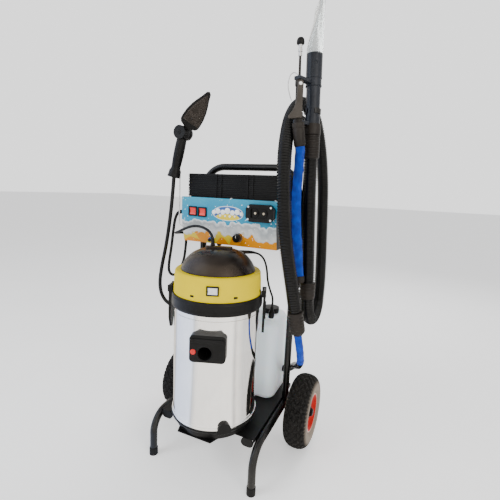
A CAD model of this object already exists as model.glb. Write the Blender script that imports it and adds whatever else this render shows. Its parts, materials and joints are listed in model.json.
"""Looks of the wheeled carpet cleaner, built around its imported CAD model.  Metres, +Z up, +Y to the back."""
import json
import random
from math import cos, pi, radians, sin

import bmesh
import bpy
from mathutils import Matrix, Vector


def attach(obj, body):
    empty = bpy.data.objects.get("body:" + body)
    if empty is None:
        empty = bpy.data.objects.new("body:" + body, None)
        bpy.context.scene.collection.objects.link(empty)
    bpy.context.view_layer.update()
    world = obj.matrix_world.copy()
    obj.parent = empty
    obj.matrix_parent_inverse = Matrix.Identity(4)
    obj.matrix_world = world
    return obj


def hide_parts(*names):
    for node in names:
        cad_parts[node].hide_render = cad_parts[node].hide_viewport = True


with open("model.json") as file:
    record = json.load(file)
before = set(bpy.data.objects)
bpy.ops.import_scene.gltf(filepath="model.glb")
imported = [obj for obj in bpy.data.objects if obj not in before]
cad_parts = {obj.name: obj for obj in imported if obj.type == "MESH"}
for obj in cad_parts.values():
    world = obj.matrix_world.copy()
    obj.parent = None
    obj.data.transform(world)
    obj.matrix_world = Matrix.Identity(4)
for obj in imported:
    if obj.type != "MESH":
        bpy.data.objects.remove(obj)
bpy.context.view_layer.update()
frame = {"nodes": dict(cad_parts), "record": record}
nodes = frame["nodes"]
random.seed(7)
BODY = "chassis"
VAC_Y = -0.085      # the vacuum's axis is at x 0, this y
VAC_TURN = 20       # degrees that its front is turned from -Y
AXLE = Vector((0, 0.124, 0.130))
WHEEL_X = 0.256     # from the middle of the frame to the middle of a wheel
LEAST_RADIUS = 0.00002


# ---- camera -------------------------------------------------------------------------------------
def add_camera():
    """Place the camera at the photograph's viewing angle."""
    azimuth, pitch, roll = radians(23.881), radians(9.4686), radians(2.5833)
    forward = Vector((-sin(azimuth) * cos(pitch), cos(azimuth) * cos(pitch), -sin(pitch)))
    right = Vector((cos(azimuth), sin(azimuth), 0))
    up = right.cross(forward)
    across = right * cos(roll) + up * sin(roll)
    upward = up * cos(roll) - right * sin(roll)
    data = bpy.data.cameras.new("camera")
    data.lens = 25.38
    data.sensor_width = 36
    camera = bpy.data.objects.new("camera", data)
    placed = Matrix((across, upward, -forward)).transposed().to_4x4()
    placed.translation = Vector((0.5357, -1.0522, 0.9162))
    camera.matrix_world = placed
    bpy.context.scene.collection.objects.link(camera)
    bpy.context.scene.camera = camera


add_camera()


# ---- materials ----------------------------------------------------------------------------------
materials = {}


def feed(tree, socket, value):
    """Link a socket to another node's output, or set it to a plain value."""
    if isinstance(value, bpy.types.NodeSocket):
        tree.links.new(value, socket)
    else:
        socket.default_value = value


def maths(tree, operation, *inputs):
    """Result of a Math node, fed with numbers or other nodes' outputs."""
    node = tree.nodes.new("ShaderNodeMath")
    node.operation = operation
    for socket, value in zip(node.inputs, inputs):
        feed(tree, socket, value)
    return node.outputs["Value"]


def ranged(tree, value, start, end, low=0.0, high=1.0):
    """A value's place between start and end, as a number from low to high."""
    node = tree.nodes.new("ShaderNodeMapRange")
    for socket, number in zip(("Value", "From Min", "From Max", "To Min", "To Max"),
                              (value, start, end, low, high)):
        feed(tree, node.inputs[socket], number)
    return node.outputs["Result"]


def blended(tree, factor, under, over):
    """Colour that goes from under to over with a factor."""
    node = tree.nodes.new("ShaderNodeMix")
    node.data_type = "RGBA"
    for socket, value in (("Factor", factor), ("A", under), ("B", over)):
        feed(tree, node.inputs[socket], value)
    return node.outputs["Result"]


def graded(tree, value, stops):
    """Colour from a ramp of (place, colour) stops."""
    ramp = tree.nodes.new("ShaderNodeValToRGB")
    points = ramp.color_ramp.elements
    while len(points) < len(stops):
        points.new(0.5)
    for point, (place, colour) in zip(points, stops):
        point.position = place
        point.color = (*colour, 1)
    tree.links.new(value, ramp.inputs["Fac"])
    return ramp.outputs["Color"]


def output_of(tree, kind, name):
    """An output of the tree's first node of a kind."""
    return next(node for node in tree.nodes if node.type == kind).outputs[name]


def texture(tree, kind, feature=None, **settings):
    """A texture node in object coordinates."""
    node = tree.nodes.new(kind)
    if feature:
        node.feature = feature
    for name, value in settings.items():
        node.inputs[name].default_value = value
    tree.links.new(output_of(tree, "TEX_COORD", "Object"), node.inputs["Vector"])
    return node


def separated(tree):
    """The X, Y and Z outputs of the place on the object."""
    parts = tree.nodes.new("ShaderNodeSeparateXYZ")
    tree.links.new(output_of(tree, "TEX_COORD", "Object"), parts.inputs["Vector"])
    return parts.outputs


def surface(name, dark, light, rough=(0.35, 0.5), patch=14.0, grain=900.0, depth=0.00006, weave=0.0,
            **shader):
    """Procedural material: patchy colour and roughness from noise, with grain or weave in the bump."""
    material = bpy.data.materials.new(name)
    material.use_nodes = True
    tree = material.node_tree
    link = tree.links.new
    bsdf = tree.nodes["Principled BSDF"]
    tree.nodes.new("ShaderNodeTexCoord")
    patches = texture(tree, "ShaderNodeTexNoise", Scale=patch, Detail=6).outputs["Fac"]
    link(graded(tree, patches, ((0.36, dark), (0.64, light))), bsdf.inputs["Base Color"])
    link(ranged(tree, patches, 0.35, 0.65, *rough), bsdf.inputs["Roughness"])
    if weave:
        threads = []
        for direction in ("X", "Z"):
            wave = texture(tree, "ShaderNodeTexWave", Scale=weave, Distortion=1.5)
            wave.bands_direction = direction
            threads.append(wave.outputs["Fac"])
        height = maths(tree, "MAXIMUM", *threads)
    else:
        height = texture(tree, "ShaderNodeTexNoise", Scale=grain, Detail=3).outputs["Fac"]
    bump = tree.nodes.new("ShaderNodeBump")
    bump.inputs["Distance"].default_value = depth
    link(height, bump.inputs["Height"])
    link(bump.outputs["Normal"], bsdf.inputs["Normal"])
    for socket, value in shader.items():
        bsdf.inputs[socket.replace("_", " ")].default_value = value
    materials[name] = material
    return material


def grey(value, warm=0.0):
    """A near-black or grey colour, a little warm or cool."""
    return (value * (1 + warm), value, value * (1 - warm))


surface("frame_paint", grey(0.003), grey(0.006), (0.2, 0.32), grain=500, depth=0.00004,
        Specular_IOR_Level=0.3)
surface("deck_paint", grey(0.004), grey(0.008), (0.32, 0.5), grain=700, Specular_IOR_Level=0.15)
surface("rubber", grey(0.004), grey(0.009), (0.6, 0.75), grain=1200, Specular_IOR_Level=0.15)
surface("zinc", grey(0.52), grey(0.68), (0.22, 0.4), patch=60, Metallic=1.0)
surface("tyre", grey(0.004, 0.08), grey(0.011, 0.12), (0.62, 0.85), patch=26, grain=1400, depth=0.0002,
        Specular_IOR_Level=0.2)
surface("nylon", (0.50, 0.48, 0.42), (0.62, 0.60, 0.53), (0.4, 0.55))
surface("box_paint", grey(0.03), grey(0.05), (0.35, 0.5), grain=800)
surface("black_plastic", grey(0.004), grey(0.008), (0.3, 0.45), grain=1600, depth=0.00005,
        Specular_IOR_Level=0.13)
surface("red_plastic", (0.62, 0.016, 0.014), (0.80, 0.045, 0.035), (0.25, 0.4), patch=50,
        Specular_IOR_Level=0.3)
surface("white_plastic", (0.72, 0.73, 0.72), (0.86, 0.86, 0.84), (0.2, 0.3), patch=50)
surface("brass", (0.55, 0.38, 0.12), (0.72, 0.52, 0.2), (0.2, 0.35), Metallic=1.0)
surface("motor_grey", grey(0.22), grey(0.32), (0.4, 0.5))
surface("crate_plastic", grey(0.003), grey(0.007), (0.35, 0.5), grain=1500, depth=0.0001,
        Specular_IOR_Level=0.15)
surface("bristle", (0.030, 0.024, 0.019), (0.055, 0.045, 0.037), (0.6, 0.8), patch=60,
        Specular_IOR_Level=0.2)
surface("stainless", (0.84, 0.84, 0.84), (0.90, 0.90, 0.89), (0.05, 0.11), patch=9, grain=14,
        depth=0.00018, Metallic=1.0)
surface("yellow_plastic", (0.76, 0.58, 0.0), (0.82, 0.63, 0.0), (0.34, 0.45), Specular_IOR_Level=0.02)
surface("dome_black", (0.004, 0.003, 0.003), (0.009, 0.007, 0.006), (0.24, 0.34), grain=1800,
        depth=0.00003, Specular_IOR_Level=0.4, Specular_Tint=(1.0, 0.82, 0.66, 1))
surface("filter_cloth", grey(0.6), grey(0.72), (0.8, 0.9), weave=300)
surface("tank_plastic", (0.86, 0.91, 0.96), (0.93, 0.96, 0.99), (0.3, 0.42), grain=260, depth=0.0002,
        Transmission_Weight=0.1, Subsurface_Weight=0.3, Subsurface_Scale=0.03,
        Emission_Color=(0.85, 0.93, 1.0, 1), Emission_Strength=0.12)
surface("wand_grey", (0.006, 0.008, 0.012), (0.014, 0.017, 0.024), (0.22, 0.36),
        Specular_IOR_Level=0.22)
surface("clear_plastic", (0.90, 0.93, 0.92), (0.95, 0.97, 0.96), (0.05, 0.12), Transmission_Weight=0.92,
        IOR=1.46)
surface("valve_metal", grey(0.5), grey(0.62), (0.15, 0.25), patch=60, Metallic=1.0)
surface("trigger_brown", (0.030, 0.025, 0.020), (0.055, 0.046, 0.039), (0.35, 0.5),
        Specular_IOR_Level=0.2)
surface("hose_black", grey(0.002), grey(0.005), (0.14, 0.22), grain=1400, depth=0.00003,
        Specular_IOR_Level=0.2)
surface("sleeve_blue", (0.0, 0.028, 0.30), (0.0, 0.060, 0.52), (0.5, 0.7), patch=45, weave=260,
        depth=0.0005, Specular_IOR_Level=0.15, Sheen_Weight=0.05)
surface("cable_black", grey(0.004), grey(0.008), (0.35, 0.5), grain=1500, Specular_IOR_Level=0.2)
surface("cuff_brown", (0.010, 0.008, 0.007), (0.022, 0.018, 0.015), (0.35, 0.5),
        Specular_IOR_Level=0.15)
surface("rim_red", (0.42, 0.006, 0.002), (0.58, 0.012, 0.004), (0.32, 0.45), patch=30,
        Specular_IOR_Level=0.12)
surface("panel_print", (0.1, 0.1, 0.1), (0.2, 0.2, 0.2), (0.22, 0.32), Specular_IOR_Level=0.25)


def reach_from_axle(tree):
    """Distance from the wheels' axle."""
    steps = (("SUBTRACT", AXLE), ("MULTIPLY", (0, 1, 1)), ("LENGTH", None))
    place = output_of(tree, "TEX_COORD", "Object")
    for operation, other in steps:
        node = tree.nodes.new("ShaderNodeVectorMath")
        node.operation = operation
        if other is not None:
            node.inputs[1].default_value = other
        tree.links.new(place, node.inputs[0])
        place = node.outputs["Value" if operation == "LENGTH" else "Vector"]
    return place


def paint_rim():
    """Red paint inside, bare light metal at the rim's edge, black at the hub."""
    hub_radius, edge_radius = 0.02353, 0.064
    tree = materials["rim_red"].node_tree
    reach = reach_from_axle(tree)
    colour = output_of(tree, "VALTORGB", "Color")
    colour = blended(tree, maths(tree, "LESS_THAN", reach, hub_radius), colour, (0.012, 0.012, 0.012, 1))
    colour = blended(tree, maths(tree, "GREATER_THAN", reach, edge_radius), colour, (0.72, 0.50, 0.42, 1))
    tree.links.new(colour, tree.nodes["Principled BSDF"].inputs["Base Color"])


def dust_tyre():
    """Black tread, with pale dust on the side walls."""
    tree = materials["tyre"].node_tree
    dust = ranged(tree, reach_from_axle(tree), 0.100, 0.114, 0.8, 0.0)
    colour = blended(tree, dust, output_of(tree, "VALTORGB", "Color"), (0.30, 0.25, 0.20, 1))
    tree.links.new(colour, tree.nodes["Principled BSDF"].inputs["Base Color"])


def print_panel():
    """Printed film: sky above, foam clouds in the middle, orange and yellow below, with bubbles."""
    foot, top, lift = 0.737, 0.889, 0.045
    tree = materials["panel_print"].node_tree
    puffs = texture(tree, "ShaderNodeTexVoronoi", "SMOOTH_F1", Scale=55, Smoothness=0.15)
    hills = texture(tree, "ShaderNodeTexNoise", Scale=13, Detail=1)
    sway = maths(tree, "MULTIPLY_ADD", puffs.outputs["Distance"], 0.022, separated(tree)["Z"])
    roll = maths(tree, "MULTIPLY_ADD", hills.outputs["Fac"], 0.07, sway)
    height = ranged(tree, roll, foot + lift, top + lift)
    bands = graded(tree, height, (
        (0.0, (0.70, 0.50, 0.01)), (0.19, (0.74, 0.56, 0.03)), (0.20, (0.50, 0.50, 0.50)),
        (0.24, (0.66, 0.67, 0.67)), (0.40, (0.36, 0.39, 0.41)), (0.47, (0.72, 0.75, 0.76)),
        (0.485, (0.02, 0.27, 0.44)), (0.75, (0.02, 0.25, 0.42)), (1.0, (0.03, 0.30, 0.46))))
    spots = texture(tree, "ShaderNodeTexVoronoi", Scale=16)
    tint = tree.nodes.new("ShaderNodeSeparateColor")
    tree.links.new(spots.outputs["Color"], tint.inputs["Color"])
    chosen = maths(tree, "GREATER_THAN", tint.outputs["Red"], 0.45)
    low = maths(tree, "LESS_THAN", height, 0.192)
    sunset = blended(tree, maths(tree, "MULTIPLY", chosen, low), bands, (0.72, 0.26, 0.0, 1))
    cells = texture(tree, "ShaderNodeTexVoronoi", Scale=85)
    dots = maths(tree, "LESS_THAN", cells.outputs["Distance"], 0.13)
    colour = blended(tree, dots, sunset, (0.88, 0.93, 0.95, 1))
    tree.links.new(colour, tree.nodes["Principled BSDF"].inputs["Base Color"])


def finish_nodes():
    """Give every CAD node its slot's material; the axle caps are black ones."""
    for row in frame["record"]["subparts"]:
        node = nodes[row["node"]]
        slot_name = "black_plastic" if row["node"] == "axle_caps" else row["material_slot"]
        node.data.materials.clear()
        node.data.materials.append(materials[slot_name])


paint_rim()
dust_tyre()
print_panel()
finish_nodes()


# ---- mesh and curve makers ----------------------------------------------------------------------
def metres(points):
    """Points in millimetres as vectors in metres."""
    return [Vector(p) / 1000 for p in points]


def piece(name, verts, faces, slot, body=BODY, replaces=(), sharp=35, bevel=0.0, material=None):
    """Add a mesh piece with its material, riding on a body."""
    mesh = bpy.data.meshes.new(name)
    mesh.from_pydata([tuple(v) for v in verts], [], faces)
    work = bmesh.new()
    work.from_mesh(mesh)
    bmesh.ops.recalc_face_normals(work, faces=work.faces)
    for face in work.faces:
        face.smooth = True
    work.to_mesh(mesh)
    work.free()
    mesh.set_sharp_from_angle(angle=radians(sharp))
    mesh.materials.append(material or materials[slot])
    made = bpy.data.objects.new(name, mesh)
    bpy.context.scene.collection.objects.link(made)
    if bevel:
        rounding = made.modifiers.new("rounding", "BEVEL")
        rounding.width = bevel
        rounding.segments = 3
        rounding.limit_method = "ANGLE"
    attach(made, body)
    if replaces:
        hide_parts(*replaces)
    return made


def joined(shapes):
    """Several (verts, faces) shapes as one."""
    verts, faces = [], []
    for more_verts, more_faces in shapes:
        start = len(verts)
        verts.extend(more_verts)
        faces.extend([[i + start for i in face] for face in more_faces])
    return verts, faces


def lathe(origin, axis, profile, segments=32):
    """Turn a (radius, height) outline about an axis, with both ends closed."""
    origin = Vector(origin)
    axis = Vector(axis).normalized()
    side = axis.orthogonal().normalized()
    other = axis.cross(side)
    verts = []
    for radius, height in profile:
        for step in range(segments):
            turn = 2 * pi * step / segments
            away = (side * cos(turn) + other * sin(turn)) * max(radius, LEAST_RADIUS)
            verts.append(origin + axis * height + away)
    return verts, ring_faces(len(profile), segments)


def ring_faces(rows, segments):
    """Faces of a tube of rings, with both ends closed."""
    faces = []
    for row in range(rows - 1):
        for step in range(segments):
            a = row * segments + step
            b = row * segments + (step + 1) % segments
            faces.append([a, b, b + segments, a + segments])
    faces.append(list(range(segments))[::-1])
    faces.append([(rows - 1) * segments + step for step in range(segments)])
    return faces


def ring_lathe(origin, axis, profile, segments=64):
    """Turn a closed outline that doesn't reach the axis."""
    verts, faces = lathe(origin, axis, profile, segments)
    last = (len(profile) - 1) * segments
    joint = [[k, last + k, last + (k + 1) % segments, (k + 1) % segments] for k in range(segments)]
    return verts, faces[:-2] + joint


def sweep(points, radius_at, segments=20):
    """Tube along closely spaced points; radius_at(distance, turn) gives its radius."""
    verts = []
    distance = 0
    side = None
    for row, point in enumerate(points):
        before = points[max(row - 1, 0)]
        after = points[min(row + 1, len(points) - 1)]
        along = (after - before).normalized()
        if side is None:
            side = along.orthogonal().normalized()
        side = (side - along * side.dot(along)).normalized()
        other = along.cross(side)
        if row:
            distance += (point - points[row - 1]).length
        for step in range(segments):
            turn = 2 * pi * step / segments
            verts.append(point + (side * cos(turn) + other * sin(turn)) * radius_at(distance, turn))
    return verts, ring_faces(len(points), segments)


def block(origin, right, up, out, outline, low, high):
    """Prism of an outline in (right, up), from low to high along out."""
    origin, right, up, out = (Vector(v) for v in (origin, right, up, out))
    verts = [origin + right * x + up * z + out * level for level in (low, high) for x, z in outline]
    return verts, ring_faces(2, len(outline))


def spline(name, route, radius):
    """NURBS curve object with the route's points as its control points."""
    curve = bpy.data.curves.new(name, "CURVE")
    curve.dimensions = "3D"
    curve.resolution_u = 12
    line = curve.splines.new("NURBS")
    line.points.add(len(route) - 1)
    for point, place in zip(line.points, route):
        point.co = (*place, 1)
    line.order_u = 3
    line.use_endpoint_u = True
    curve.bevel_depth = radius
    curve.bevel_resolution = 6
    curve.use_fill_caps = True
    made = bpy.data.objects.new(name, curve)
    bpy.context.scene.collection.objects.link(made)
    return made


def line_of(route, step):
    """Points a step apart along the route's NURBS spline."""
    made = spline("route", route, 0)
    bpy.context.view_layer.update()
    mesh = bpy.data.meshes.new_from_object(made.evaluated_get(bpy.context.evaluated_depsgraph_get()))
    raw = [v.co.copy() for v in mesh.vertices]
    bpy.data.objects.remove(made)
    points = [raw[0]]
    left = step
    for start, end in zip(raw, raw[1:]):
        span = (end - start).length
        gone = left
        while gone <= span:
            points.append(start.lerp(end, gone / span))
            gone += step
        left = gone - span
    points.append(raw[-1])
    return points


def lead(name, route, radius, slot, node):
    """A plain lead or hose as a curve that replaces its CAD solid."""
    made = spline(name, metres(route), radius)
    made.data.materials.append(materials[slot])
    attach(made, BODY)
    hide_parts(node)
    return made


# ---- cords --------------------------------------------------------------------------------------
VACUUM_HOSE = [
    (244, 24, 1110), (250, 24, 940), (257, 24, 790), (264, 25, 665), (267, 26, 548),
    (268, 84, 490), (266, 166, 490), (262, 224, 548), (259, 226, 660), (253, 224, 800),
    (246, 226, 930), (236, 225, 1022), (221, 222, 1112), (205, 170, 1190), (188, 84, 1205),
    (179, 10, 1150), (187, -48, 1056), (198, -76, 960), (205, -77, 870), (215, -78, 785),
    (229, -72, 705), (242, -60, 628), (251, -48, 560),
]
SOLUTION_SLEEVE = [
    (220, -40, 1111), (227, -32, 1062), (226, -22, 1004), (220, -11, 944), (221, -9, 860), (234, -9, 750),
    (246, -9, 648),
]
SUPPLY_HOSE = [
    (261, -34.5, 483), (267, -26, 433), (264, 14, 378), (248, 62, 332), (226, 110, 302),
    (208, 150, 284), (193, 176, 262), (178, 187, 245), (164, 188, 238), (150.2, 188, 238),
]
FOAM_HOSE = [
    (-208, -41, 952), (-214, -40, 886), (-222, -42, 808), (-239, -40, 714), (-258, -42, 632),
    (-268, -41, 566), (-256, -40, 520), (-222, -38, 494), (-186, -16, 488), (-158, 22, 520),
    (-128, 50, 584), (-98, 58, 636), (-80, 60, 682), (-80, 60, 719),
]
VAC_LEAD = [
    (-34, -66, 741), (-34, -66, 764), (-52, -64, 785), (-84, -63, 795), (-116, -64, 794),
    (-150, -61, 781), (-182, -50, 767), (-206, -32, 760), (-218, -8, 757), (-215, 16, 756),
    (-204, 24, 756), (-190, 24, 756),
]
SIDE_LEAD = [
    (-190, -14, 835), (-207, -14, 834), (-219, -17, 811), (-224, -20, 765), (-230, -22, 705),
    (-240, -22, 650), (-248, -14, 612), (-248, 12, 590), (-240, 38, 600), (-228, 54, 644), (-223, 58, 700),
    (-222, 60, 752), (-219, 60, 780), (-207, 60, 792), (-190, 60, 792),
]
PLUG_LEAD = [
    (64, 4, 716), (88, 18, 716), (112, 24, 698), (126, 20, 664), (131, 16, 628),
    (142, 18, 592), (154, 20, 566), (152, 18, 538),
]
RIB_STEP = 0.001
RIB_SHAPE = (0.0212, 0.0212, 0.0207, 0.0194, 0.0186, 0.0184, 0.0186, 0.0194)


def cuff(name, start, end, profile, slot, segments=40, replaces=()):
    """A turned cuff between two points; its profile's heights are fractions of its length."""
    start, end = metres((start, end))
    length = (end - start).length
    outline = [(radius / 1000, height * length) for radius, height in profile]
    return piece(name, *lathe(start, end - start, outline, segments), slot, replaces=replaces)


def ridged(outer, count, low=0.25, high=0.9):
    """Profile of a cuff with a rolled lip and a row of raised rings."""
    profile = [(outer - 4, 0), (outer - 0.6, 0.005), (outer, 0.03), (outer, 0.10), (outer - 1.6, 0.13)]
    for ring in range(count):
        base = low + (high - low) * ring / count
        step = (high - low) / count
        profile += [(outer - 2.2, base), (outer - 0.9, base + 0.2 * step), (outer - 0.9, base + 0.6 * step),
                    (outer - 2.2, base + 0.8 * step)]
    return profile + [(outer - 2.4, 0.95), (outer - 3.0, 0.99), (outer - 5, 1)]


def add_cords():
    """Every hose and lead, with its cuffs, plug and strain reliefs."""
    line = line_of(metres(VACUUM_HOSE), RIB_STEP)

    def corrugated(distance, _):
        return RIB_SHAPE[round(distance / RIB_STEP) % len(RIB_SHAPE)]

    hose = piece("corrugated_hose", *sweep(line, corrugated, 24), "hose_black", replaces=("vacuum_hose",),
                 sharp=80)
    upper = cuff("upper_cuff", (264.8, 25.3, 638), (266.1, 25.7, 586),
                 [(20.9, 0)] + ridged(26, 3)[1:-1] + [(20.9, 1)], "cuff_brown", replaces=("hose_cuffs",))
    grip = cuff("wand_cuff", (243.6, 24, 1121), (247.2, 24, 1020),
                [(22, 0), (26, 0.01), (26.4, 0.04), (26.4, 0.3)] + ridged(26, 9, 0.32, 0.98)[5:-3]
                + [(22.5, 0.985), (21.6, 1.0)], "cuff_brown")
    end = cuff("end_cuff", (251, -48, 560), (261, -34.5, 483),
               [(19, 0)] + ridged(25, 5, 0.2, 0.8)[1:-3]
               + [(24, 0.84), (20, 0.93), (15.2, 0.97), (15.2, 1.0)], "cuff_brown", replaces=("hose_cuffs",))

    def folds(radius, amount):
        def radius_at(distance, turn):
            wrinkle = 0.5 * sin(3 * turn + 61 * distance) + 0.3 * sin(5 * turn - 143 * distance + 1)
            pinch = 0.35 * sin(210 * distance + 2 * sin(turn + 20 * distance))
            return radius - amount * (1 - wrinkle - pinch)
        return radius_at

    line = line_of(metres(SOLUTION_SLEEVE), 0.003)
    sleeve = piece("blue_sleeve", *sweep(line, folds(0.0150, 0.0009), 36), "sleeve_blue",
                   replaces=("solution_sleeve",), sharp=80)
    band = cuff("sleeve_band", (245, -9, 664), (246, -9, 642),
                [(14, 0), (16.2, 0.04), (16.6, 0.2), (16.6, 0.8), (15.5, 0.95), (11, 1)], "cuff_brown")
    sock = cuff("sleeve_grip", (219.5, -40.5, 1116), (227, -31, 1050),
                [(11, 0), (16.6, 0.02), (17.6, 0.08), (17.6, 0.22), (16.4, 0.25), (17.2, 0.30), (17.2, 0.92),
                 (16.2, 0.98), (14.5, 1)], "cuff_brown")
    line = line_of(metres(SUPPLY_HOSE), 0.003)
    supply = piece("supply_sleeve", *sweep(line, folds(0.0130, 0.0008), 32), "sleeve_blue",
                   replaces=("supply_hose",), sharp=80)
    supply.data.materials.append(materials["hose_black"])
    black_below = 0.352
    for face in supply.data.polygons:
        if face.center.z < black_below:
            face.material_index = 1

    foam = lead("foam_line", FOAM_HOSE, 0.0065, "hose_black", "foam_hose")
    power = lead("vacuum_lead", VAC_LEAD, 0.0045, "cable_black", "vac_lead")
    side = lead("side_loop", SIDE_LEAD, 0.005, "cable_black", "side_lead")
    pigtail = lead("plug_pigtail", PLUG_LEAD, 0.0035, "cable_black", "plug_lead")
    plug = cuff("pigtail_plug", (152, 18, 538), (151, 16.6, 499),
                [(3.7, 0), (5, 0.02), (5.6, 0.2), (5.0, 0.22), (6.4, 0.24), (7.4, 0.4), (9.7, 0.46),
                 (9.9, 0.5), (9.9, 0.93), (9.2, 0.98), (8, 1), (8, 0.9), (0, 0.9)], "black_plastic",
                replaces=("lead_plug",))

    for name, route, radius, from_end in (
            ("relief_dome", VAC_LEAD, 0.0045, False), ("relief_box_low", VAC_LEAD, 0.0045, True),
            ("relief_box_top", SIDE_LEAD, 0.005, False), ("relief_box_mid", SIDE_LEAD, 0.005, True),
            ("relief_pigtail", PLUG_LEAD, 0.0035, False)):
        line = line_of(metres(route), 0.001)
        stretch = line[::-1][:24] if from_end else line[:24]

        def tapering(distance, _, radius=radius):
            groove = 0.0006 if round(distance * 1000) % 4 == 3 else 0
            return radius + 0.0024 - 0.00008 * distance * 1000 - groove

        piece(name, *sweep(stretch, tapering, 20), "cable_black", sharp=30)


add_cords()


# ---- wheels -------------------------------------------------------------------------------------
def squared(value, power):
    """A sine or cosine raised to a power that keeps its sign, for squarer or rounder ovals."""
    return abs(value) ** power * (1 if value > 0 else -1)


def add_tyre(side, name):
    """Pneumatic tyre with a diamond tread, shoulder lugs and rings on its walls."""
    around, across, lugs = 336, 54, 28
    half_width, half_height, ring_radius, bead = 0.0425, 0.035, 0.095, 0.0672
    pitch = 0.021
    centre = WHEEL_X * side
    verts = []
    for step in range(around):
        turn = 2 * pi * step / around
        for place in range(across + 1):
            angle = radians(-52 + 284 * place / across)
            x = half_width * squared(cos(angle), 0.8)
            radius = ring_radius + half_height * sin(angle)
            inward = 0
            phase = lugs * turn / (2 * pi)
            if radius > 0.1165:
                first = (phase + x / pitch) % 1
                second = (phase - x / pitch) % 1
                if first < 0.3 or second < 0.3:
                    inward = 0.0045
            elif radius > 0.106:
                inward = 0.0022 if (phase * 2) % 1 < 0.4 else 0
            elif 0.079 < radius < 0.083:
                inward = -0.0007
            out = Vector((cos(angle) / half_width, sin(angle) / half_height)).normalized()
            x -= out.x * inward
            radius -= out.y * inward
            verts.append(AXLE + Vector((centre + x, radius * cos(turn), radius * sin(turn))))
        for shift in (-0.0270, 0.0270):
            verts.append(AXLE + Vector((centre + shift, bead * cos(turn), bead * sin(turn))))
    row = across + 3
    faces = []
    for step in range(around):
        base, after = step * row, ((step + 1) % around) * row
        for place in range(row):
            faces.append([base + place, base + (place + 1) % row, after + (place + 1) % row, after + place])
    piece(f"treaded_{name}", verts, faces, "tyre", body=name.replace("tyre", "wheel"), replaces=(name,),
          sharp=40)


def add_rim_details(side, body):
    """Dished rim with its four bolts and the tyre's valve."""
    centre = WHEEL_X * side
    hand = body.removeprefix("wheel_")
    out = (side, 0, 0)
    dish = [(0.0136, 0.0285), (0.0200, 0.0285), (0.0215, 0.0270), (0.0250, 0.0235), (0.0480, 0.0215),
            (0.0560, 0.0270), (0.0595, 0.0335), (0.0620, 0.0362), (0.0672, 0.0362), (0.0685, 0.0345),
            (0.0672, 0.0320), (0.0655, 0.0270), (0.0640, 0.0240), (0.0640, -0.0240), (0.0672, -0.0290),
            (0.0672, -0.0315), (0.0625, -0.0315), (0.0590, -0.0270), (0.0560, -0.0100), (0.0540, 0.0150),
            (0.0250, 0.0180), (0.0210, 0.0150), (0.0175, -0.0283), (0.0136, -0.0283)]
    hub = AXLE + Vector((centre, 0, 0))
    piece(f"dished_rim_{hand}", *ring_lathe(hub, out, dish, 96), "rim_red", body=body,
          replaces=(f"rim_{hand}",), sharp=25)
    shapes = []
    for step in range(4):
        turn = radians(45 + 90 * step)
        origin = AXLE + Vector((centre + 0.0225 * side, 0.036 * cos(turn), 0.036 * sin(turn)))
        bolt = [(0.0045, -0.002), (0.0045, 0.0025), (0.0036, 0.0032), (0, 0.0032)]
        shapes.append(lathe(origin, out, bolt, 6))
    piece(f"rim_bolts_{hand}", *joined(shapes), "rim_red", body=body, bevel=0.0003)
    origin = AXLE + Vector((centre + 0.0215 * side, 0.047 * cos(2.4), 0.047 * sin(2.4)))
    piece(f"valve_stem_{hand}", *lathe(origin, (side, 0.1, 0.1), [
        (0.0050, -0.002), (0.0046, 0.004), (0.0034, 0.006), (0.0032, 0.011), (0.0038, 0.0115),
        (0.0038, 0.016), (0.0030, 0.017), (0, 0.017)], 16), "rubber", body=body)


for side, hand in ((-1, "left"), (1, "right")):
    add_tyre(side, f"tyre_{hand}")
    add_rim_details(side, f"wheel_{hand}")


# ---- vacuum -------------------------------------------------------------------------------------
def vac_place(distance, turn, sideways, z):
    """Origin and (right, up, out) directions of a place on the vacuum, in metres and degrees."""
    angle = radians(VAC_TURN + turn)
    out = Vector((sin(angle), -cos(angle), 0))
    right = Vector((cos(angle), sin(angle), 0))
    origin = Vector((0, VAC_Y, 0)) + out * distance + right * sideways
    return origin + Vector((0, 0, z)), right, Vector((0, 0, 1)), out


def rocker_key(name, origin, right, up, out, width, height, slot, body, replaces):
    """Rocker key with a hollowed face, one end standing higher."""
    half = height / 2
    outline = [(-half, 0.0030), (-half * 0.55, 0.0012), (0, 0.0003), (half * 0.55, 0.0012), (half, 0.0036),
               (half, -0.007), (-half, -0.007)]
    piece(name, *block(origin - right * width / 2, up, out, right, outline, 0, width), slot, body=body,
          replaces=(replaces,), bevel=0.0007, sharp=40)


rocker_key("vac_rocker", *vac_place(0.138, 3, 0, 0.632), 0.0274, 0.0194, "white_plastic", "vac_switch",
           "switch_rocker")
for key, x, z, key_body in (("rocker_pump", -0.127, 0.842, "pump_switch"),
                            ("rocker_air", -0.090, 0.841, "air_switch")):
    rocker_key(f"{key}_key", Vector((x, -0.043, z)), Vector((1, 0, 0)), Vector((0, 0, 1)),
               Vector((0, -1, 0)), 0.023, 0.023, "red_plastic", key_body, key)


def screw_head(origin, out, radius=0.0042):
    """Round screw head with a hollow in its middle."""
    return lathe(origin, out, [(radius, -0.001), (radius, 0.0006), (radius * 0.85, 0.0016),
                               (radius * 0.4, 0.0019), (radius * 0.34, 0.0008), (0, 0.0008)], 20)


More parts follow.
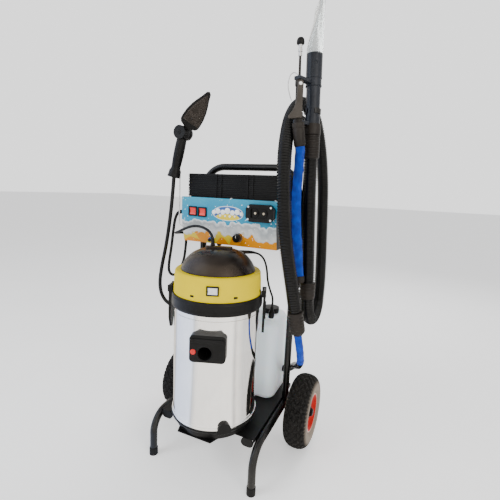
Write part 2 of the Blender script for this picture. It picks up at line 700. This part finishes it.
def add_vacuum_details():
    """Latch screws, vents and notches on the collar, the dome's screw and the inlet's lip."""
    for turn, body in ((90, "latch_right"), (-90, "latch_left")):
        shapes = []
        for z in (0.588, 0.512):
            origin, _, _, out = vac_place(0.1558 + (0.0025 if z < 0.55 else 0), turn, 0, z)
            shapes.append(screw_head(origin, out))
        piece(f"{body}_screws", *joined(shapes), "zinc", body=body)
    slots = []
    for turn in (-23, 31, -75, 80, 140, -140):
        origin, right, up, out = vac_place(0.1368, turn, 0, 0.611)
        outline = [(-0.0055, -0.0030), (0.0055, -0.0030), (0.0060, 0), (0.0055, 0.0030), (-0.0055, 0.0030),
                   (-0.0060, 0)]
        slots.append(block(origin, right, up, out, outline, 0, 0.0034))
    piece("collar_notches", *joined(slots), "black_plastic", bevel=0.0004)
    origin, _, _, out = vac_place(0.100, -18, 0, 0.6995)
    piece("dome_screw", *screw_head(origin, out + Vector((0, 0, 0.9)), 0.0050), "black_plastic")
    origin, right, up, out = vac_place(0.1595, 0, 0, 0)
    lip = [(-0.050, 0.4850), (0.050, 0.4850), (0.0515, 0.488), (0.046, 0.4975), (-0.046, 0.4975),
           (-0.0515, 0.488)]
    piece("inlet_lip", *block(origin, right, up, out, lip, -0.006, 0.0040), "black_plastic", bevel=0.0016)
    origin, _, _, out = vac_place(0.1598, 0, -0.007, 0.453)
    ring = [(0.0203, -0.002), (0.0203, 0.0012), (0.0212, 0.0020), (0.0238, 0.0020), (0.0250, 0.0008),
            (0.0250, -0.002)]
    piece("inlet_ring", *ring_lathe(origin, out, ring, 48), "black_plastic")
    seam = [(0.1376, 0.5385), (0.1384, 0.5390), (0.1384, 0.5405), (0.1376, 0.5410)]
    piece("drum_bead", *ring_lathe((0, VAC_Y, 0), (0, 0, 1), seam, 96), "stainless")


def add_base():
    """Base ring with its silver strip, dish and the half-round bumpers."""
    centre = (0, VAC_Y, 0)
    profile = [(0, 0.168), (0.108, 0.168), (0.108, 0.156), (0.125, 0.156), (0.129, 0.180), (0.1395, 0.184),
               (0.1420, 0.187), (0.1424, 0.1905), (0.1414, 0.1935), (0.1380, 0.1945), (0.1376, 0.1905),
               (0.1376, 0.1890), (0, 0.1890)]
    shapes = [lathe(centre, (0, 0, 1), profile, 128)]
    for turn in (22, 202):
        origin, right, up, out = vac_place(0.1380, turn, 0, 0)
        radius, middle, foot = 0.0210, 0.1985, 0.1865
        dome = [(radius * cos(pi * k / 14), middle + radius * sin(pi * k / 14)) for k in range(15)]
        outline = [(radius, foot)] + dome + [(-radius, foot)]
        shapes.append(block(origin, right, up, out, outline, -0.002, 0.0105))
    piece("base_ring", *joined(shapes), "black_plastic", replaces=("vac_base",), bevel=0.0012)
    strip = [(0.1377, 0.1946), (0.1406, 0.1946), (0.1412, 0.1962), (0.1412, 0.1995), (0.1400, 0.2010),
             (0.1377, 0.2014)]
    piece("base_strip", *ring_lathe(centre, (0, 0, 1), strip, 128), "stainless")


add_vacuum_details()
add_base()


# ---- control panel ------------------------------------------------------------------------------
def add_panel_details():
    """Bubble emblem, contact pins in the outlets, the knob's scale ring and a blue quick coupling."""
    front = Vector((0, -0.043, 0))
    out = Vector((0, -1, 0))

    def oval(half_width, half_height, z, low, high):
        outline = [(half_width * cos(2 * pi * k / 48), half_height * sin(2 * pi * k / 48)) for k in range(48)]
        return block(front + Vector((0.005, 0, z)), (1, 0, 0), (0, 0, 1), out, outline, low, high)

    navy = surface("emblem_navy", (0.01, 0.07, 0.26), (0.015, 0.10, 0.36), (0.25, 0.35))
    sunny = surface("emblem_yellow", (0.68, 0.50, 0.0), (0.76, 0.60, 0.01), (0.25, 0.35), patch=38)
    white = surface("emblem_white", (0.80, 0.83, 0.85), (0.90, 0.92, 0.93), (0.2, 0.3), patch=60)
    piece("emblem_outline", *oval(0.056, 0.0235, 0.842, -0.0002, 0.0004), "panel_print", material=white)
    piece("emblem_oval", *oval(0.054, 0.0215, 0.842, -0.0002, 0.0007), "panel_print", material=navy)
    piece("emblem_sun", *oval(0.042, 0.0100, 0.8305, -0.0002, 0.0010), "panel_print", material=sunny)
    bubble_scale = 0.00082
    fills = []
    for count, (x, z, radius) in enumerate(((-46, 843, 9), (-31, 848, 11), (-13, 845, 10), (4, 850, 12),
                                            (22, 845, 10), (39, 848, 11), (54, 843, 8), (-22, 834, 5),
                                            (13, 833, 5), (31, 834, 4), (-4, 833, 4))):
        radius *= bubble_scale
        origin = front + Vector((x, 0, z)) / 1000 + out * (0.0006 + 0.00008 * count)
        fills.append(lathe(origin, out, [(radius, -0.0002), (radius, 0.0006), (radius * 0.92, 0.0011),
                                         (radius * 0.5, 0.0019), (0, 0.0022)], 36))
    piece("emblem_bubbles", *joined(fills), "panel_print", material=white)
    beige = surface("contact_beige", (0.45, 0.38, 0.28), (0.6, 0.52, 0.4), (0.3, 0.45), patch=70)
    pins = []
    for x in (108, 136):
        origin = Vector((x / 1000, -0.056, 0.850))
        pin = [(0.0040, -0.004), (0.0040, 0.0035), (0.0032, 0.0048), (0, 0.0048)]
        pins.append(lathe(origin, out, pin, 20))
    piece("outlet_pins", *joined(pins), "nylon", material=beige)
    slope = Vector((0, -0.9754, -0.2205))
    origin = Vector((0.040, -0.0331, 0.767))
    ring = [(0.0135, -0.001), (0.0135, 0.0008), (0.0165, 0.0008), (0.0165, -0.001)]
    piece("knob_ring", *ring_lathe(origin, slope, ring, 40), "zinc")
    marker = block(origin + slope * 0.0166, (1, 0, 0), (0, -0.2205, 0.9754), slope,
                   [(-0.0008, 0.002), (0.0008, 0.002), (0.0008, 0.0112), (-0.0008, 0.0112)], 0, 0.0012)
    piece("knob_marker", *marker, "white_plastic", body="pressure_knob", bevel=0.0003)
    blue = surface("coupling_blue", (0.0, 0.06, 0.30), (0.0, 0.12, 0.5), (0.25, 0.4), patch=70)
    origin = Vector((-0.060, -0.0302, 0.753)) + slope * 0.0062
    piece("blue_coupling", *lathe(origin, slope, [
        (0.0062, -0.001), (0.0066, 0), (0.0074, 0.0010), (0.0074, 0.0050), (0.0066, 0.0058),
        (0.0062, 0.0062)], 28), "black_plastic", material=blue)


add_panel_details()


def add_crate_ribs():
    """Fine horizontal ribs and upright pairs on the crate's front and back."""
    shapes = []
    for count in range(12):
        z = 0.8945 + 0.0062 * count
        profile = [(-0.0012, 0), (-0.0008, 0.0016), (0.0008, 0.0016), (0.0012, 0)]
        shapes.append(block((-0.171, -0.0055, z), (0, 0, 1), (0, -1, 0), (1, 0, 0), profile, 0, 0.342))
    for x in (-0.060, -0.042, 0.055, 0.073):
        profile = [(-0.0020, 0), (-0.0014, 0.0028), (0.0014, 0.0028), (0.0020, 0)]
        shapes.append(block((x, -0.0055, 0.8915), (1, 0, 0), (0, -1, 0), (0, 0, 1), profile, 0, 0.0765))
    piece("crate_ribs", *joined(shapes), "crate_plastic")


add_crate_ribs()


# ---- hand brush ---------------------------------------------------------------------------------
SWIVEL = Vector((-0.172, -0.041, 1.096))
HEAD_TIP = Vector((-0.077, -0.062, 1.214))


def add_brush_head():
    """Moulded shell with a domed back and a dense pad of tufts."""
    run = HEAD_TIP - SWIVEL
    along = Vector((run.x, 0, run.z))
    length = along.length
    along.normalize()
    out = Vector((run.z, -run.length * 1.1, -run.x)).normalized()
    across = out.cross(along)
    shell_outline = [(0.0165, 0.0105), (0.023, 0.0125), (0.029, 0.0265), (0.037, 0.0320), (0.050, 0.0332),
                     (0.072, 0.0318), (0.095, 0.0272), (0.115, 0.0205), (0.133, 0.0130), (length, 0.0070),
                     (length + 0.0045, 0)]
    outline = shell_outline + [(x, -y) for x, y in shell_outline[-2::-1]]
    middle_x = 0.090
    rings = ((0.0062, 0.93), (0.0058, 1.0), (-0.001, 1.0), (-0.0065, 0.96), (-0.0105, 0.84), (-0.0130, 0.62),
             (-0.0140, 0.3), (-0.0142, 0.05))
    verts = []
    for level, scale in rings:
        for x, y in outline:
            forward = middle_x + (x - middle_x) * scale
            verts.append(SWIVEL + along * forward + across * y * scale + out * level)
    knuckle = ring_lathe(SWIVEL + Vector((0, 0.0118, 0)), (0, -1, 0), [
        (0.0041, 0), (0.0200, 0), (0.0214, 0.0014), (0.0214, 0.0222), (0.0200, 0.0236), (0.0041, 0.0236)], 40)
    shape = joined([(verts, ring_faces(len(rings), len(outline))), knuckle])
    piece("brush_shell", *shape, "black_plastic", body="brush_head", replaces=("brush_head",), sharp=50,
          bevel=0.0008)
    pad_outline = [(0.043, 0.0272), (0.070, 0.0262), (0.095, 0.0212), (0.115, 0.0148), (0.133, 0.0080),
                   (length - 0.006, 0)]
    pad = pad_outline + [(x, -y) for x, y in pad_outline[-2::-1]]
    shapes = [block(SWIVEL, along, across, out, pad, 0.0058, 0.0095)]
    spacing = 0.0026
    for column in range(60):
        x = 0.0452 + column * spacing
        if x > length - 0.009:
            break
        before = [p for p in pad_outline if p[0] <= x][-1]
        after = [p for p in pad_outline if p[0] > x][0]
        share = (x - before[0]) / (after[0] - before[0])
        half = before[1] + (after[1] - before[1]) * share - 0.0018
        rows = max(int(2 * half / spacing), 1)
        for row in range(rows + 1):
            y = -half + 2 * half * row / rows
            root = SWIVEL + along * (x + random.uniform(-0.0004, 0.0004)) + across * y + out * 0.0090
            lean = along * random.uniform(-0.0005, 0.0005) + across * random.uniform(-0.0005, 0.0005)
            tip = root + lean + out * random.uniform(0.0100, 0.0109)
            tuft = tip - root
            profile = [(0.0012, 0), (0.0017, tuft.length * 0.8), (0.0014, tuft.length)]
            shapes.append(lathe(root, tuft, profile, 6))
    piece("bristle_tufts", *joined(shapes), "bristle", body="brush_head", replaces=("brush_bristles",))


add_brush_head()
piece("swivel_bolt", *joined([
    screw_head(SWIVEL + Vector((0, -0.0242, 0)), (0, -1, 0), 0.0065),
    screw_head(SWIVEL + Vector((0, 0.0242, 0)), (0, 1, 0), 0.0065)]), "black_plastic")
STEM_FOOT = Vector((-0.208, -0.041, 0.952))
piece("handle_flare", *ring_lathe(STEM_FOOT, Vector((0.031, 0, 0.126)), [
    (0.0130, 0.042), (0.0148, 0.036), (0.0165, 0.028), (0.0200, 0.0225), (0.0202, 0.0150), (0.0218, 0.0070),
    (0.0228, 0.0020), (0.0222, 0.0005), (0.0190, 0.0002), (0.0072, 0.0002), (0.0072, 0.0100)], 48),
    "black_plastic")


# ---- wand ---------------------------------------------------------------------------------------
def add_wand_details():
    """Wire hook over the hose's coil and rings on the wand's tube."""
    hook = spline("wire_hook", metres([(190, -22, 1180), (183, -30, 1200), (180, -36, 1225), (188, -40, 1248),
                                       (203, -42, 1252), (214, -44, 1240)]), 0.0014)
    hook.data.materials.append(materials["zinc"])
    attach(hook, BODY)
    lean = Vector((-12, 0, 340)).normalized()
    foot = Vector((0.244, 0.024, 1.110))
    shapes = []
    for height in (0.116, 0.138):
        ring = [(0.0208, 0), (0.0240, 0.0006), (0.0240, 0.0030), (0.0208, 0.0036)]
        shapes.append(ring_lathe(foot + lean * height, lean, ring, 40))
    toward = Vector((0.45, -0.893, 0))
    shapes.append(lathe(foot + lean * 0.178 + toward * 0.0215, toward, [
        (0.0052, 0), (0.0052, 0.0022), (0.0040, 0.0028), (0.0032, 0.0010), (0, 0.0010)], 20))
    piece("wand_rings", *joined(shapes), "wand_grey")

    sideways = Vector((0.914, 0.405, 0))
    valve = foot + Vector((-0.024, -0.064, 0.0)) - Vector((0, 0, 0.0008))

    def turned(outline, segments):
        return lathe(valve, lean, [(r / 1000, h / 1000) for r, h in outline], segments)

    body_outline = [(0, 2), (9.5, 2), (11, 3.5), (11, 15), (13, 17), (13, 33), (10, 35), (10, 103),
                    (12, 105), (12, 118), (10.5, 120), (5.5, 121), (5, 126), (3.6, 127), (3.4, 184), (0, 184)]
    piece("valve_body", *turned(body_outline, 32), "cuff_brown", replaces=("spray_valve",))
    fitting = [(0, 183), (4.2, 183), (5.2, 184), (5.2, 190), (4.4, 191), (4.4, 193), (6.2, 194), (6.2, 202),
               (5.0, 203), (5.0, 209), (6.0, 210), (6.0, 213), (0, 213)]
    piece("spray_fitting", *turned(fitting, 24), "valve_metal")
    cap = [(0, 212), (6.5, 212), (9.5, 213.5), (11, 216), (11, 222), (9.8, 227), (7, 230.5), (3, 232),
           (0, 232)]
    piece("spray_cap", *turned(cap, 28), "black_plastic")

    lever = [(-7, 112), (-3, 116), (5, 116), (9, 112), (8.5, 84), (7.5, 50), (7, 17), (-29, 12), (-32, 16),
             (-31, 21), (-19, 36), (-12, 52), (-9, 70), (-8, 92)]
    outline = [(x / 1000, h / 1000) for x, h in lever]
    piece("trigger_lever", *block(valve, sideways, lean, toward, outline, 0.0137, 0.0205), "trigger_brown",
          body="spray_trigger", replaces=("wand_trigger",), bevel=0.0022)
    piece("trigger_pin", *lathe(valve + lean * 0.106, toward, [
        (0.0035, 0.008), (0.0035, 0.0215), (0.0050, 0.0216), (0.0050, 0.0230), (0.0036, 0.0240), (0, 0.0240)],
        20), "zinc")

    rings = []
    steps, thickness = 14, 0.0022
    for wall in (0, 1):
        for step in (range(steps + 1) if wall == 0 else range(steps, -1, -1)):
            share = step / steps
            ease = share * share * (3 - 2 * share)
            half_x = (0.0232 + 0.0012 * sin(pi * min(share * 2.2, 1))) * (1 - ease) + 0.0080 * ease
            half_y = 0.0232 * (1 - ease) + 0.0440 * ease
            centre = foot + lean * (0.2035 + 0.1345 * share) + sideways * (0.010 * ease)
            power = 1 - 0.45 * min(share * 2, 1)
            for k in range(48):
                turn = 2 * pi * k / 48
                x = (half_x - thickness * wall) * squared(cos(turn), power)
                y = (half_y - thickness * wall) * squared(sin(turn), power)
                rings.append(centre + sideways * x - toward * y)
    piece("clear_nozzle", rings, ring_faces(2 * steps + 2, 48), "clear_plastic", replaces=("wand_nozzle",))


add_wand_details()


# ---- stage and light ----------------------------------------------------------------------------
def add_stage():
    """Pale floor, soft lamps and a plain studio all round."""
    mesh = bpy.data.meshes.new("floor")
    reach = 30
    mesh.from_pydata([(-reach, -reach, 0), (reach, -reach, 0), (reach, reach, 0), (-reach, reach, 0)], [],
                     [(0, 1, 2, 3)])
    floor = bpy.data.objects.new("floor", mesh)
    bpy.context.scene.collection.objects.link(floor)
    mesh.materials.append(surface("floor", (0.92, 0.92, 0.92), (0.94, 0.94, 0.94), (0.6, 0.7), patch=2,
                                  Specular_IOR_Level=0.1, Emission_Color=(1, 1, 1, 1),
                                  Emission_Strength=0.55))
    for name, place, size, power, colour in (
            ("key", (-1.7, -2.2, 2.6), 1.6, 60, (0.93, 0.97, 1.0)),
            ("fill", (2.4, -1.6, 1.8), 1.4, 34, (1.0, 0.95, 0.88)),
            ("back", (0.6, 2.4, 2.4), 1.8, 45, (1, 1, 1))):
        data = bpy.data.lights.new(name, "AREA")
        data.size = size
        data.energy = power
        data.color = colour
        lamp = bpy.data.objects.new(name, data)
        lamp.location = place
        aim = Vector((0, 0, 0.7)) - Vector(place)
        lamp.rotation_euler = aim.to_track_quat("-Z", "Y").to_euler()
        lamp.visible_camera = False
        bpy.context.scene.collection.objects.link(lamp)
    world = bpy.data.worlds.new("studio")
    bpy.context.scene.world = world
    world.use_nodes = True
    tree = world.node_tree
    background = tree.nodes["Background"]
    seen = tree.nodes.new("ShaderNodeLightPath").outputs["Is Camera Ray"]
    colour = blended(tree, seen, (0.72, 0.72, 0.73, 1), (1.72, 1.72, 1.72, 1))
    tree.links.new(colour, background.inputs["Color"])
    background.inputs["Strength"].default_value = 1.0


def add_surroundings():
    """A studio wall of soft pale bands that only mirrors and gloss see."""
    radius, height, inner_radius, foot = 1.0, 2.4, 0.17, 0.0006
    contrast, brightness = 1.7, 1.35
    steps = 96
    verts = [(reach * sin(2 * pi * k / steps), VAC_Y - reach * cos(2 * pi * k / steps), level)
             for reach, level in ((inner_radius, foot), (radius, foot), (radius, height))
             for k in range(steps)]
    mesh = bpy.data.meshes.new("studio_wall")
    mesh.from_pydata(verts, [], ring_faces(3, steps)[:-2])
    made = bpy.data.objects.new("studio_wall", mesh)
    bpy.context.scene.collection.objects.link(made)
    made.visible_camera = False
    made.visible_diffuse = False
    made.visible_shadow = False
    made.visible_transmission = False
    material = surface("studio_wall", (0.5, 0.5, 0.5), (0.6, 0.6, 0.6), (0.9, 0.95))
    tree = material.node_tree
    place = separated(tree)
    front = maths(tree, "MULTIPLY_ADD", place["Y"], -1, VAC_Y)
    around = maths(tree, "ARCTAN2", place["X"], front)
    stops = ((0.0, 0.05, 0.05, 0.05), (0.03, 0.55, 0.52, 0.48), (0.20, 0.60, 0.55, 0.48),
             (0.225, 0.28, 0.28, 0.30), (0.25, 0.62, 0.70, 0.90), (0.41, 0.78, 0.85, 1.0),
             (0.425, 0.50, 0.52, 0.55), (0.455, 0.92, 0.88, 0.82), (0.69, 0.95, 0.91, 0.84),
             (0.712, 0.46, 0.42, 0.37), (0.735, 0.80, 0.75, 0.68), (0.78, 0.52, 0.49, 0.45),
             (0.91, 0.56, 0.52, 0.48), (0.94, 0.03, 0.03, 0.03), (1.0, 0.03, 0.03, 0.03))
    bands = graded(tree, ranged(tree, around, -pi, pi),
                   [(place, [value ** contrast for value in colour]) for place, *colour in stops])
    bsdf = tree.nodes["Principled BSDF"]
    tree.links.new(bands, bsdf.inputs["Emission Color"])
    bsdf.inputs["Emission Strength"].default_value = brightness
    mesh.materials.append(material)


add_stage()
add_surroundings()
